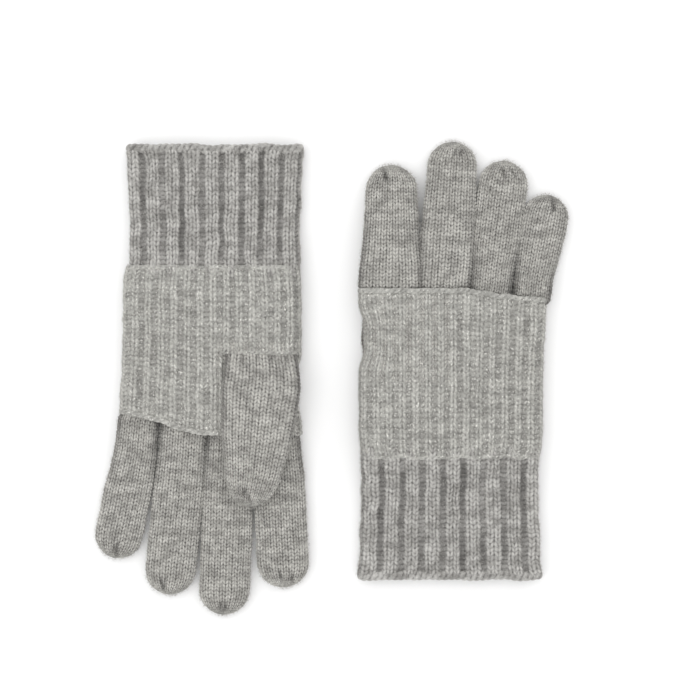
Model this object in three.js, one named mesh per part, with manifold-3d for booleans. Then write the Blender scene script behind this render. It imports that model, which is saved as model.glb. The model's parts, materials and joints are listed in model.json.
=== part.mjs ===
// A pair of knitted gloves, laid flat side by side. The left glove lies palm up with its thumb on top of the
// palm, and its fingers point to -Y. The right glove lies palm down on its tucked thumb, and its fingers point
// to +Y. Each glove is a jersey hand tube with four finger tubes and a thumb, a wide-ribbed cuff that ends in
// a rolled hem, and a loose ribbed band that is knitted over the hand and left open round the thumb.
// Millimetres, +Z up, origin at the middle of the pair on the surface that it lies on.
//
// A glove is laid out in plan: p runs across it towards the thumb side, q runs along it towards the
// fingertips, and q is 0 at the wrist edge of the band.
import * as THREE from "three";
import { mergeVertices } from "three/addons/utils/BufferGeometryUtils.js";
import Module from "manifold-3d";

const wasm = await Module();
wasm.setup();

// Fabric.
const JERSEY_WALL = 1.6; // hand, fingers and thumb
const RIB_WALL = 2.1; // cuff
const BAND_WALL = 2.4; // the heavier over-band
const HEM_WALL = 2.7; // rolled hem
const FINGER_ROOM = 5.8; // clear height inside the hand, fingers and cuff
const THUMB_ROOM = 4.8; // clear height inside the thumb
const CLEARANCE = 0.4; // between pieces that lie on or inside each other
const JOIN_GAP = 0.3; // between pieces that meet end to end

// Lengths along the glove.
const BAND_LENGTH = 92;
const CUFF_LENGTH = 61;
const HEM_LENGTH = 5.5;
const TRIM_LENGTH = 2.7;
const THUMB_LINE = 46; // from the band's wrist edge to the thumb opening
const DRAPE_RUN = 26; // length over which the glove settles from the band down to the surface
const HUMP_RUN = 36; // length over which the right glove's fingers settle past the thumb that they lie on
const SWELL = 30; // length over which a finger widens from its root
const BEND_SHARE = 0.46; // where a finger bends, as a share of its length
const BEND_PAST_THUMB = 5; // fingers that cross the thumb bend this far past its tip

// Shares of the hand's width.
const NOTCH_SHARE = 0.053; // p of the thumb opening's long side
const HOLE_SHARE = 0.12; // radius of the opening from the palm into the thumb

const handThickness = 2 * JERSEY_WALL + FINGER_ROOM;
const thumbThickness = 2 * JERSEY_WALL + THUMB_ROOM;
const bandStep = BAND_WALL + CLEARANCE; // the hand lies this far above the underside of the band

// Colours of the yarns.
const YARNS = {
  jersey: { color: 0xa3a19c, roughness: 0.95, metalness: 0 },
  rib: { color: 0x9a9792, roughness: 0.95, metalness: 0 },
  metallic: { color: 0xa9a7a2, roughness: 0.8, metalness: 0.1 },
};

// The two gloves. Across the glove, sizes and places are shares of the width of its hand. A finger starts at
// root, leans by lean degrees towards the thumb side and has its own length past the band. The thumb starts
// in the middle of its rounded root, which touches the thumb opening's wrist side. The band's finger edge
// falls away by edgeDrop towards the little finger.
const LEFT = {
  name: "left",
  palmUp: true,
  at: [-64.6, 59.7],
  mirror: [1, -1],
  handWidth: 92,
  cuffWidth: 93,
  hemWidth: 96,
  cuffShift: 1.4,
  edgeDrop: 12,
  fingers: {
    index_finger: { root: 0.377, lean: 3, length: 81.5, rootWidth: 0.266, width: 0.304, crossesThumb: true },
    middle_finger: { root: 0.103, lean: -2.1, length: 96.3, rootWidth: 0.26, width: 0.297, crossesThumb: true },
    ring_finger: { root: -0.166, lean: -6, length: 85.2, rootWidth: 0.265, width: 0.296 },
    little_finger: { root: -0.434, lean: -11.6, length: 65.4, rootWidth: 0.256, width: 0.279 },
  },
  thumb: { root: 0.289, lean: -5.4, length: 62, rootWidth: 0.424, width: 0.36 },
};
const RIGHT = {
  name: "right",
  palmUp: false,
  at: [64.4, -42.9],
  mirror: [-1, 1],
  handWidth: 95,
  cuffWidth: 97,
  hemWidth: 99,
  cuffShift: 0.4,
  edgeDrop: 5,
  fingers: {
    index_finger: { root: 0.342, lean: -0.6, length: 66, rootWidth: 0.32, width: 0.288, crossesThumb: true },
    middle_finger: { root: 0.037, lean: -4, length: 78.6, rootWidth: 0.256, width: 0.285, crossesThumb: true },
    ring_finger: { root: -0.222, lean: -7.8, length: 68.2, rootWidth: 0.232, width: 0.28 },
    little_finger: { root: -0.464, lean: -11.4, length: 49.5, rootWidth: 0.232, width: 0.26 },
  },
  thumb: { root: 0.284, lean: -2.2, length: 52, rootWidth: 0.41, width: 0.337 },
};
const THUMB_MARGIN = 1.5; // between the thumb's root and the wrist side of its opening
const GAP_PAST_THUMB = 3; // the right glove is lifted this far past the thumb that it lies on

const smooth = (from, to, x) => THREE.MathUtils.smoothstep(x, Math.min(from, to), Math.max(from, to));

// The thumb as a straight run in the plan, with its width at each place along it.
function thumbRun(glove) {
  const { root, lean, length, rootWidth, width } = glove.thumb;
  const start = THUMB_LINE + THUMB_MARGIN + (rootWidth * glove.handWidth) / 2;
  const direction = THREE.MathUtils.degToRad(lean);
  return {
    root: [root * glove.handWidth, start],
    direction,
    length,
    tipLine: start + length * Math.cos(direction),
    rootRadius: (rootWidth * glove.handWidth) / 2,
    widthAt: (along) => glove.handWidth * THREE.MathUtils.lerp(rootWidth, width, smooth(0, SWELL, along)),
  };
}

// A finger as a straight run in the plan from the band's finger edge.
function fingerRun(glove, finger) {
  const { root, lean, length, rootWidth, width, crossesThumb } = finger;
  const direction = THREE.MathUtils.degToRad(lean);
  const pastThumb = thumbRun(glove).tipLine + BEND_PAST_THUMB - BAND_LENGTH;
  const bend = crossesThumb ? Math.max(BEND_SHARE * length, pastThumb) : BEND_SHARE * length;
  return {
    root: [root * glove.handWidth, BAND_LENGTH],
    direction,
    length: length / Math.cos(direction),
    bend: bend / Math.cos(direction),
    widthAt: (along) => glove.handWidth * THREE.MathUtils.lerp(rootWidth, width, smooth(0, SWELL, along)),
  };
}


// Height of what lies under the hand tube, its fingers and its cuff at a place of the plan.
function bedOf(glove) {
  const run = thumbRun(glove);
  return (p, q) => {
    const past = q < 0 ? -q : Math.max(0, q - BAND_LENGTH);
    const onBand = bandStep * (1 - smooth(0, DRAPE_RUN, past));
    if (glove.palmUp) return onBand;
    const innerSide = NOTCH_SHARE * glove.handWidth - TRIM_LENGTH;
    const outerEnd = run.tipLine + GAP_PAST_THUMB;
    const hump =
      smooth(innerSide - DRAPE_RUN, innerSide, p) *
      smooth(-CUFF_LENGTH / 2, THUMB_LINE - 10, q) *
      (1 - smooth(outerEnd, outerEnd + HUMP_RUN, q));
    return THREE.MathUtils.lerp(onBand, thumbThickness + CLEARANCE, hump);
  };
}

// The q of the band's finger edge at a p.
const fingerEdge = (glove) => (p) => BAND_LENGTH - glove.edgeDrop * smooth(0, glove.handWidth / 2, -p);

// The q of a row of stitches that is straight at the wrist and slants more and more towards the finger edge.
const slantedRow = (glove, along) => (p) => (along * fingerEdge(glove)(p)) / BAND_LENGTH;

// The points round a flat tube's section. Each lies a radius away, in the direction (x, y), from a place on
// the flat middle, which runs from -1 to 1 and is split into columns.
const ROUND_STEPS = 3;
const FLAT_LEAST = 0.5; // the narrowest flat middle of a section
function sectionPoints(columns) {
  const points = [];
  for (const side of [1, -1]) {
    for (let i = 0; i <= ROUND_STEPS; i++) {
      const angle = Math.PI * (i / ROUND_STEPS - 0.5);
      points.push({ flat: side, x: side * Math.cos(angle), y: side * Math.sin(angle) });
    }
    for (let i = 1; i < columns; i++) points.push({ flat: side * (1 - (2 * i) / columns), x: 0, y: side });
  }
  return points;
}

// A solid skinned over rings, one after the other, each with the flat section. The rings close into a loop
// (an open tube: its outside, then back along its inside) or end in a point at both ends (a closed form).
// Each ring says where it lies along the direction that the tube runs in, how wide and thick it is, how high
// its underside is above the bed, and, where it follows a slanting edge, the q of that edge as slantAt(p).
function skin({ root = [0, 0], direction = 0, rings, loop, columns, bed }) {
  const points = sectionPoints(columns);
  const around = points.length;
  const geometry = loop
    ? new THREE.TorusGeometry(2, 1, rings.length, around)
    : new THREE.SphereGeometry(1, around, rings.length + 1);
  const ahead = [Math.sin(direction), Math.cos(direction)];
  const across = [Math.cos(direction), -Math.sin(direction)];
  const position = geometry.attributes.position;
  for (let i = 0; i < position.count; i++) {
    const row = Math.floor(i / (around + 1));
    const at = loop ? row % rings.length : THREE.MathUtils.clamp(row - 1, 0, rings.length - 1);
    const isPoint = !loop && (row === 0 || row > rings.length);
    const { along, width, thick, base, slantAt } = rings[at];
    const { flat, x, y } = isPoint ? { flat: 0, x: 0, y: 0 } : points[i % (around + 1) % around];
    const offset = (flat * (width - thick) + x * thick) / 2;
    const p = root[0] + ahead[0] * along + across[0] * offset;
    const q = slantAt ? slantAt(p) : root[1] + ahead[1] * along + across[1] * offset;
    position.setXYZ(i, p, q, bed(p, q) + base + ((1 + y) * thick) / 2);
  }
  return solidOf(geometry);
}

// Rings taken in by a wall all round.
const insideOf = (rings, wall) =>
  rings.map((ring) => ({
    ...ring,
    width: ring.width - 2 * wall,
    thick: ring.thick - 2 * wall,
    base: ring.base + wall,
  }));

// A tube that is open at both ends.
function openTube({ rings, wall, ...shape }) {
  return skin({ ...shape, rings: [...rings, ...insideOf(rings, wall).reverse()], loop: true });
}

// A closed geometry as a solid for joining and cutting. The plan's p, q and height are right-handed only when
// the section is read from behind, so an inside-out result is turned round.
function solidOf(geometry) {
  const bare = geometry.clone();
  bare.deleteAttribute("normal");
  bare.deleteAttribute("uv");
  const merged = mergeVertices(bare, 1e-3);
  const vertProperties = new Float32Array(merged.attributes.position.array);
  const triVerts = new Uint32Array(merged.index.array);
  const made = new wasm.Manifold(new wasm.Mesh({ numProp: 3, vertProperties, triVerts }));
  if (made.volume() > 0) return made;
  for (let i = 0; i < triVerts.length; i += 3) {
    [triVerts[i + 1], triVerts[i + 2]] = [triVerts[i + 2], triVerts[i + 1]];
  }
  return new wasm.Manifold(new wasm.Mesh({ numProp: 3, vertProperties, triVerts }));
}

function meshOf(solid, name, yarn) {
  const { numProp, numVert, vertProperties, triVerts } = solid.getMesh();
  const position = new Float32Array(numVert * 3);
  for (let i = 0; i < numVert; i++) {
    position.set(vertProperties.subarray(i * numProp, i * numProp + 3), i * 3);
  }
  const geometry = new THREE.BufferGeometry();
  geometry.setAttribute("position", new THREE.BufferAttribute(position, 3));
  geometry.setIndex(new THREE.BufferAttribute(triVerts, 1));
  geometry.computeVertexNormals();
  const mesh = new THREE.Mesh(geometry, new THREE.MeshStandardMaterial(YARNS[yarn]));
  mesh.name = name;
  return mesh;
}

// Rings at equal steps between two places of a straight tube.
function evenRings(from, to, count, at) {
  return Array.from({ length: count }, (_, i) => {
    const along = THREE.MathUtils.lerp(from, to, i / (count - 1));
    return { along, ...at(along) };
  });
}

// A box in the plan, from the bed's zero upwards.
function block([p0, p1], [q0, q1], [low, high]) {
  const geometry = new THREE.BoxGeometry(p1 - p0, q1 - q0, high - low);
  geometry.translate((p0 + p1) / 2, (q0 + q1) / 2, (low + high) / 2);
  return solidOf(geometry);
}

const LARGE = 200; // reaches past the glove from any place

// The hand tube lies inside the band and ends at the band's finger edge. A round opening in its palm leads
// into the thumb.
function handTube(glove, bed) {
  const rings = evenRings(0, BAND_LENGTH, 9, (along) => ({
    width: glove.handWidth,
    thick: handThickness,
    base: 0,
    slantAt: slantedRow(glove, along),
  }));
  const tube = openTube({ rings, columns: 8, bed, wall: JERSEY_WALL });
  const [p, q] = thumbRun(glove).root;
  return tube.subtract(thumbHole(glove, bed(p, q) + (glove.palmUp ? handThickness : 0)));
}

// The round opening between the palm and the thumb, cut through one wall at a height.
function thumbHole(glove, height) {
  const [p, q] = thumbRun(glove).root;
  const radius = HOLE_SHARE * glove.handWidth;
  const hole = new THREE.CylinderGeometry(radius, radius, thumbThickness, 20);
  hole.rotateX(Math.PI / 2);
  hole.translate(p, q, height);
  return solidOf(hole);
}

// A ring of the over-band between two places along it. It is the same flat tube as the hand, one clearance
// larger.
function bandRing(glove, bed, from, to, count) {
  const rings = evenRings(from, to, count, (along) => ({
    width: glove.handWidth + 2 * bandStep,
    thick: handThickness + 2 * bandStep,
    base: -bandStep,
    slantAt: slantedRow(glove, along),
  }));
  return openTube({ rings, columns: 8, bed, wall: BAND_WALL });
}

// The corner of the palm side that the band leaves open for the thumb.
function thumbNotch(glove, bed, margin) {
  const middle = bed(...thumbRun(glove).root) + handThickness / 2;
  const height = glove.palmUp ? [middle, LARGE] : [-LARGE, middle];
  const side = NOTCH_SHARE * glove.handWidth;
  return block([side - margin, LARGE], [THUMB_LINE - margin, LARGE], height);
}

function band(glove, bed) {
  const trim = TRIM_LENGTH + JOIN_GAP;
  const ring = bandRing(glove, bed, trim, BAND_LENGTH - trim, 9);
  return ring.subtract(thumbNotch(glove, bed, trim));
}

function bandFingerEdge(glove, bed) {
  const ring = bandRing(glove, bed, BAND_LENGTH - TRIM_LENGTH, BAND_LENGTH, 2);
  return ring.subtract(thumbNotch(glove, bed, TRIM_LENGTH + JOIN_GAP));
}

const bandWristEdge = (glove, bed) => bandRing(glove, bed, 0, TRIM_LENGTH, 2);

// The picked-up chain along the two sides of the thumb opening, flat on the palm.
function thumbOpeningEdge(glove, bed) {
  const side = NOTCH_SHARE * glove.handWidth;
  const inner = side - TRIM_LENGTH;
  const outer = (glove.handWidth - handThickness) / 2;
  const fingerEnd = BAND_LENGTH - JOIN_GAP;
  const plan = new THREE.Shape();
  plan.moveTo(inner, THUMB_LINE - TRIM_LENGTH);
  plan.lineTo(outer, THUMB_LINE - TRIM_LENGTH);
  plan.lineTo(outer, THUMB_LINE);
  plan.lineTo(side, THUMB_LINE);
  plan.lineTo(side, fingerEnd);
  plan.lineTo(inner, fingerEnd);
  plan.closePath();
  const strip = new THREE.ExtrudeGeometry(plan, { depth: BAND_WALL, bevelEnabled: false });
  const above = glove.palmUp ? handThickness + CLEARANCE : -bandStep;
  strip.translate(0, 0, bed(...thumbRun(glove).root) + above);
  return solidOf(strip);
}

function cuff(glove, bed) {
  const thick = 2 * RIB_WALL + FINGER_ROOM;
  const at = () => ({ width: glove.cuffWidth, thick, base: 0 });
  const rings = evenRings(-CUFF_LENGTH, -JOIN_GAP, 7, at);
  return openTube({ root: [glove.cuffShift, 0], rings, columns: 8, bed, wall: RIB_WALL });
}

function cuffHem(glove, bed) {
  const thick = 2 * HEM_WALL + FINGER_ROOM;
  const start = -CUFF_LENGTH - HEM_LENGTH;
  const at = () => ({ width: glove.hemWidth, thick, base: 0 });
  const rings = evenRings(start, -CUFF_LENGTH - JOIN_GAP, 2, at);
  return openTube({ root: [glove.cuffShift, 0], rings, columns: 8, bed, wall: HEM_WALL });
}

// Rings from one place to a rounded tip. inset takes the tip and the sides in, for the inside.
const TIP_STEPS = [1, 0.6, 0.3, 0.12, 0.02]; // places of the rounded tip, as shares of its length
const TIP_THINNING = 0.45; // thickness at the tip, as a share of the thickness of the finger
function tippedRings(run, from, straightCount, thick, inset) {
  const end = run.length - inset;
  const tipLength = run.widthAt(run.length) / 2 - inset;
  const straight = evenRings(from, end - tipLength, straightCount, (along) => ({
    width: run.widthAt(along) - 2 * inset,
    thick: thick - 2 * inset,
    base: inset,
  }));
  const full = straight.pop();
  const rounded = TIP_STEPS.map((share) => {
    const round = Math.sqrt(1 - (1 - share) ** 2);
    const thin = THREE.MathUtils.lerp(TIP_THINNING, 1, round);
    return {
      along: end - share * tipLength,
      width: Math.max(full.width * round, full.thick * thin + FLAT_LEAST),
      thick: full.thick * thin,
      base: full.base + (full.thick * (1 - thin)) / 2,
    };
  });
  return [...straight, ...rounded];
}

// The part of a finger between the band and its bend.
function fingerBase(glove, bed, finger) {
  const run = fingerRun(glove, finger);
  const edge = fingerEdge(glove);
  const rings = evenRings(0, run.bend, 5, (along) => ({
    width: run.widthAt(along),
    thick: handThickness,
    base: 0,
  }));
  rings[0].slantAt = (p) => edge(p) + JOIN_GAP;
  return openTube({ ...run, rings, columns: 2, bed, wall: JERSEY_WALL });
}

// The part of a finger past its bend, closed at the tip.
function fingerEnd(glove, bed, finger) {
  const run = fingerRun(glove, finger);
  const start = run.bend + JOIN_GAP;
  const outside = tippedRings(run, start, 3, handThickness, 0);
  const inside = tippedRings(run, start, 3, handThickness, JERSEY_WALL);
  return skin({ ...run, rings: [...outside.reverse(), ...inside], columns: 2, bed });
}

const ROOT_STEPS = [0.97, 0.8, 0.5]; // places of the thumb's rounded root, as shares of its radius

// The thumb lies flat on the palm. Its root is round in plan about its swing axis, with an opening that
// faces the one in the palm.
function thumb(glove, bed) {
  const run = thumbRun(glove);
  const level = glove.palmUp ? bed(...run.root) + handThickness + CLEARANCE : 0;
  const build = (inset) => {
    const rings = tippedRings(run, 0, 4, thumbThickness, inset);
    const radius = run.rootRadius - inset;
    const rounded = ROOT_STEPS.map((share) => ({
      ...rings[0],
      along: -share * radius,
      width: Math.max(2 * radius * Math.sqrt(1 - share ** 2), rings[0].thick + FLAT_LEAST),
    }));
    return skin({ ...run, rings: [...rounded, ...rings], columns: 4, bed: () => level });
  };
  const palmSide = glove.palmUp ? level : level + thumbThickness;
  return build(0).subtract(build(JERSEY_WALL)).subtract(thumbHole(glove, palmSide));
}

function gloveGroup(glove) {
  const bed = bedOf(glove);
  const group = new THREE.Group();
  const add = (solid, piece, yarn) => group.add(meshOf(solid, `${glove.name}_${piece}`, yarn));
  add(cuffHem(glove, bed), "cuff_hem", "rib");
  add(cuff(glove, bed), "cuff", "rib");
  add(handTube(glove, bed), "hand", "jersey");
  add(band(glove, bed), "band", "metallic");
  add(bandWristEdge(glove, bed), "band_wrist_edge", "metallic");
  add(bandFingerEdge(glove, bed), "band_finger_edge", "metallic");
  add(thumbOpeningEdge(glove, bed), "thumb_opening_edge", "metallic");
  for (const [name, finger] of Object.entries(glove.fingers)) {
    add(fingerBase(glove, bed, finger), `${name}_base`, "jersey");
    add(fingerEnd(glove, bed, finger), `${name}_end`, "jersey");
  }
  add(thumb(glove, bed), "thumb", "jersey");
  group.name = glove.name;
  group.scale.set(glove.mirror[0], glove.mirror[1], 1);
  group.position.set(glove.at[0], glove.at[1], 0);
  return group;
}

const pair = new THREE.Group();
pair.add(gloveGroup(LEFT), gloveGroup(RIGHT));
pair.updateMatrixWorld(true);
const middle = new THREE.Box3().setFromObject(pair).getCenter(new THREE.Vector3());
pair.position.set(-middle.x, -middle.y, 0);

export default pair;
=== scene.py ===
"""Looks for a pair of knitted gloves that lie flat side by side, the left palm up and the right palm down.

Every tube of cloth is a grid that follows the stitches: its columns run along the wales, and its rows
zigzag with the legs of each stitch. A tube is first laid out smooth round its solid piece, and then the
stitches are raised on it. Lengths are in millimetres until a mesh is written.
"""

import json
import math

import bmesh
import bpy
import numpy as np
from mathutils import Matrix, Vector, noise
from mathutils.bvhtree import BVHTree


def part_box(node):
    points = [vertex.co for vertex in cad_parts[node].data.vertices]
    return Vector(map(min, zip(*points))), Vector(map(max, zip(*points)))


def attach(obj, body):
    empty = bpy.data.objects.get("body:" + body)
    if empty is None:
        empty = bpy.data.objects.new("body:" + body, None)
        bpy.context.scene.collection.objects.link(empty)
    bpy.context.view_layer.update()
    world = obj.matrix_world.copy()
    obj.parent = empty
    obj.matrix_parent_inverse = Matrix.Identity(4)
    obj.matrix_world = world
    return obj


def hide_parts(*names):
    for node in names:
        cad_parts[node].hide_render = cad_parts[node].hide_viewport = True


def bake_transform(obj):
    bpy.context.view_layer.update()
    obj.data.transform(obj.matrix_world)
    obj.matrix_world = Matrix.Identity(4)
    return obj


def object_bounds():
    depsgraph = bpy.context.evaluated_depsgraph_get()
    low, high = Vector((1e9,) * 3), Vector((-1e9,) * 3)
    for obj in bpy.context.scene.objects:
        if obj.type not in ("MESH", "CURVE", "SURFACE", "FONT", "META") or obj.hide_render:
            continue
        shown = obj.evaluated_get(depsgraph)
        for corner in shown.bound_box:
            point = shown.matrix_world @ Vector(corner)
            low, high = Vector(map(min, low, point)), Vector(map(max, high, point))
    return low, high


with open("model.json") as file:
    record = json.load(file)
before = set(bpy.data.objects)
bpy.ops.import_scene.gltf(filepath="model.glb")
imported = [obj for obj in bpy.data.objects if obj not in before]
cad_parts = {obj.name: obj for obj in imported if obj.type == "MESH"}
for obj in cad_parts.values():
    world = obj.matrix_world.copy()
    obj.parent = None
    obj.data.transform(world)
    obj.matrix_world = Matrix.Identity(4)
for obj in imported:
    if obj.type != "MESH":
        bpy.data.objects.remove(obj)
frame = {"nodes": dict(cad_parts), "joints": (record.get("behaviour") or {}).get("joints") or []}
bounds_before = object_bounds()
JOINTS = {joint["name"]: joint for joint in frame["joints"]}
MM = 0.001

# ---------------------------------------------------------------- yarns and stitches
# A wale or a repeat of the rib is so wide, a course so high, and stitches stand so far up. A rib's knit
# wales have a crown, and its purl wales lie in a groove. Columns wander sideways by sway.
JERSEY = {"wale": 3.4, "course": 2.0, "height": 0.9}
RIB = {
    "repeat": 10.9,
    "knit_wales": 2,
    "knit_share": 0.72,
    "course": 2.45,
    "height": 0.8,
    "crown": 0.7,
    "groove": 1.9,
    "sway": 0.8,
}
BAND = {
    "repeat": 6.9,
    "knit_wales": 1,
    "knit_share": 0.6,
    "course": 2.7,
    "height": 0.9,
    "crown": 0.4,
    "groove": 0.6,
    "sway": 0.5,
}
LEG_COLUMNS = 8  # grid columns in a knit wale
PURL_COLUMNS = 6  # grid columns in a run of purl wales
COURSE_ROWS = 4  # grid rows in a course
SLANT = 0.62  # rise of a stitch's leg from its foot to its side, in courses
PRESS = 0.7  # cloth lower than this above the floor is pressed
FLOOR_GAP = 0.04
JOIN_METRES = 2e-6  # points of a mesh closer than this are joined
TINY = 1e-9  # keeps a length that is divided by above nothing
FLUFF_PER_MM2 = 0.34
FLUFF_LENGTH = (1.6, 4.6)
FLUFF_RADIUS = 0.085  # about six times a real fibre's, so that the fluff still shows on both gloves at once
THREAD_COUNT = 1500  # bare lengths of metallic thread that stand up from a band
THREAD_LENGTH = (0.8, 1.6)
THREAD_RADIUS = 0.11
LINING_GAP = 3.2  # from the outside of the cuff to its lining
FINGERS = ("index_finger", "middle_finger", "ring_finger", "little_finger")


def wander(p, q, z, size, seed):
    """Smooth noise from -1 to 1 at each point of three equal arrays, in bumps about as large as size."""
    shift = 37.1 * seed
    flat = zip(np.ravel(p), np.ravel(q), np.ravel(z))
    values = [noise.noise(Vector((a / size + shift, b / size, c / size))) for a, b, c in flat]
    return np.array(values).reshape(np.shape(p))


def smooth(start, end, x):
    t = np.clip((x - start) / (end - start), 0, 1)
    return t * t * (3 - 2 * t)


# ---------------------------------------------------------------- the gloves' plan
class Glove:
    """p runs across a glove to its thumb side, and q to its fingertips from the band's wrist edge."""

    GRID = 2.0
    UNDER, OVER = -5, 60  # heights that are clear of the glove
    LEVEL_NORMAL = 0.85  # a face this upright or more lies flat enough to be the cloth's underside
    P_RANGE = (-68, 68)
    Q_RANGE = (-76, 200)

    def __init__(self, name, palm_up):
        self.name = name
        self.palm_up = palm_up
        fold = JOINTS[f"{name}_cuff_fold"]
        self.origin = np.array(fold["pos_m"][:2]) / MM
        self.across = np.array(fold["axis"][:2], float)
        self.ahead = np.array([self.across[1], -self.across[0]])
        self.band_step = (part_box(f"{name}_hand")[0].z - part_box(f"{name}_band")[0].z) / MM
        self.map_bed()
        self.find_edges()

    def plan(self, point):
        flat = np.array([point[0], point[1]]) / MM - self.origin
        return Vector((flat @ self.across, flat @ self.ahead, point[2] / MM))

    def world(self, points):
        flat = points[..., :1] * self.across + points[..., 1:2] * self.ahead + self.origin
        return np.concatenate([flat, points[..., 2:]], axis=-1) * MM

    def points(self, node):
        return np.array([self.plan(v.co) for v in frame["nodes"][f"{self.name}_{node}"].data.vertices])

    def tree(self, *nodes):
        corners, faces = [], []
        for node in nodes:
            start = len(corners)
            corners += [Vector(c) for c in self.points(node)]
            polygons = frame["nodes"][f"{self.name}_{node}"].data.polygons
            faces += [[start + i for i in polygon.vertices] for polygon in polygons]
        return BVHTree.FromPolygons(corners, faces)

    def map_bed(self):
        """Height of the underside of the cloth all over the plan. Gaps are filled from what is round them."""
        nodes = ["cuff_hem", "cuff", "hand"] + [f"{f}_{half}" for f in FINGERS for half in ("base", "end")]
        tree = self.tree(*nodes)
        self.ps = np.arange(*self.P_RANGE, self.GRID)
        self.qs = np.arange(*self.Q_RANGE, self.GRID)
        most = self.band_step if self.palm_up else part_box(f"{self.name}_thumb")[1].z / MM
        bed = np.full((len(self.qs), len(self.ps)), np.nan)
        for i, q in enumerate(self.qs):
            for j, p in enumerate(self.ps):
                hit, normal, _, _ = tree.ray_cast(Vector((p, q, self.UNDER)), Vector((0, 0, 1)))
                if hit is not None and abs(normal.z) > self.LEVEL_NORMAL and hit.z < most + 1.5:
                    bed[i, j] = hit.z
        while np.isnan(bed).any():
            padded = np.pad(bed, 1, constant_values=np.nan)
            near = np.array([padded[1:-1, :-2], padded[1:-1, 2:], padded[:-2, 1:-1], padded[2:, 1:-1]])
            known = ~np.isnan(near)
            mean = np.where(known, near, 0).sum(0) / np.maximum(known.sum(0), 1)
            bed = np.where(np.isnan(bed) & known.any(0), mean, bed)
        for _ in range(2):
            padded = np.pad(bed, 1, mode="edge")
            beside = padded[1:-1, :-2] + padded[1:-1, 2:] + padded[:-2, 1:-1] + padded[2:, 1:-1]
            bed = (beside + 2 * bed) / 6
        self.bed_grid = bed

    def bed(self, p, q):
        x = np.clip((p - self.P_RANGE[0]) / self.GRID, 0, len(self.ps) - 1.001)
        y = np.clip((q - self.Q_RANGE[0]) / self.GRID, 0, len(self.qs) - 1.001)
        j, i = x.astype(int), y.astype(int)
        u, v = x - j, y - i
        g = self.bed_grid
        low = g[i, j] * (1 - u) + g[i, j + 1] * u
        high = g[i + 1, j] * (1 - u) + g[i + 1, j + 1] * u
        return low * (1 - v) + high * v

    def find_edges(self):
        """The q of the band's finger edge at each p, and the corner of the thumb opening."""
        rim = self.points("band_finger_edge")
        self.edge_ps = np.arange(-50.0, 51.0, 2.0)
        tops = np.array([rim[np.abs(rim[:, 0] - p) < 6][:, 1].max() for p in self.edge_ps])
        self.edge_qs = np.convolve(np.pad(tops, 3, mode="edge"), np.ones(7) / 7, mode="valid") - 0.6
        strip = self.points("thumb_opening_edge")
        self.opening_side = np.unique(strip[:, 0].round(1))[1]
        self.thumb_line = np.unique(strip[:, 1].round(1))[1]

    def edge_at(self, p):
        return np.interp(p, self.edge_ps, self.edge_qs)


class Line:
    """The middle line of a tube in a glove's plan, with the tube's two sides and its thickness."""

    def __init__(self, glove, nodes, root, ahead, start, end, level=None):
        self.glove = glove
        self.root = np.array(root, float)
        self.ahead = np.array(ahead, float) / np.hypot(*ahead)
        self.side = np.array([self.ahead[1], -self.ahead[0]])
        self.start, self.end = start, end
        self.alongs = np.arange(start, end, 1.0)
        self.level = level
        tree = glove.tree(*nodes)
        middle = self.at((start + end) / 2, 0)
        down = tree.ray_cast(Vector((*middle, glove.OVER)), Vector((0, 0, -1)))[0]
        up = tree.ray_cast(Vector((*middle, glove.UNDER)), Vector((0, 0, 1)))[0]
        self.thick = down.z - up.z
        offsets = np.concatenate([(glove.points(node)[:, :2] - self.root) @ self.side for node in nodes])
        span = 0.4 * (offsets.max() - offsets.min())
        reaches = [[self.reach(tree, along, way, span) for way in (-1, 1)] for along in self.alongs]
        sides = np.array(reaches, float)
        for column in range(2):
            known = ~np.isnan(sides[:, column])
            sides[:, column] = np.interp(self.alongs, self.alongs[known], sides[known, column])
        self.sides = sides

    def at(self, along, offset):
        return self.root + self.ahead * along + self.side * offset

    def reach(self, tree, along, way, span):
        """How far the solid reaches sideways, or nan where it has no side that way."""
        p, q = self.at(along, way * span)
        low = self.level if self.level is not None else float(self.glove.bed(np.array(p), np.array(q)))
        start = self.at(along, way * 80)
        hit = tree.ray_cast(Vector((*start, low + self.thick / 2)), Vector((*(-way * self.side), 0)))[0]
        offset = np.nan if hit is None else float((np.array(hit[:2]) - self.root) @ self.side)
        return offset if way * offset > span / 2 else np.nan


# ---------------------------------------------------------------- smooth tubes
TIP_START = 14  # how far before its tip a finger's width is read
POINTED = 0.004  # share of its width that a tip ends in
LOWEST = 0.75  # height of the lowest smooth cloth, so that its stitches clear the floor
GATHER_LENGTH = 9  # length over which small folds at a tube's start die out
SIDE_SHADE = 2.3  # distance over which the shade between two neighbours fades
PUCKERS = 2  # small dents where a tip is drawn together
PUCKER_DEPTH = 1.1


def flat_oval(half_width, half_thick, softness, shares):
    """Offsets across and up round a flat oval, from the side away from the thumb and over the top."""
    curve = min(half_width, softness * half_thick)
    flat = half_width - curve
    turn = np.linspace(0, math.pi / 2, 13)
    quarter = np.array([np.cos(turn) * curve, np.sin(turn) * half_thick]).T
    over = np.concatenate([quarter * (-1, 1) - (flat, 0), quarter[::-1] + (flat, 0)])
    loop = np.concatenate([over, over[::-1] * (1, -1)])
    length = np.concatenate([[0], np.cumsum(np.hypot(*np.diff(loop, axis=0).T))])
    at = shares * length[-1]
    return np.interp(at, length, loop[:, 0]), np.interp(at, length, loop[:, 1])


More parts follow.
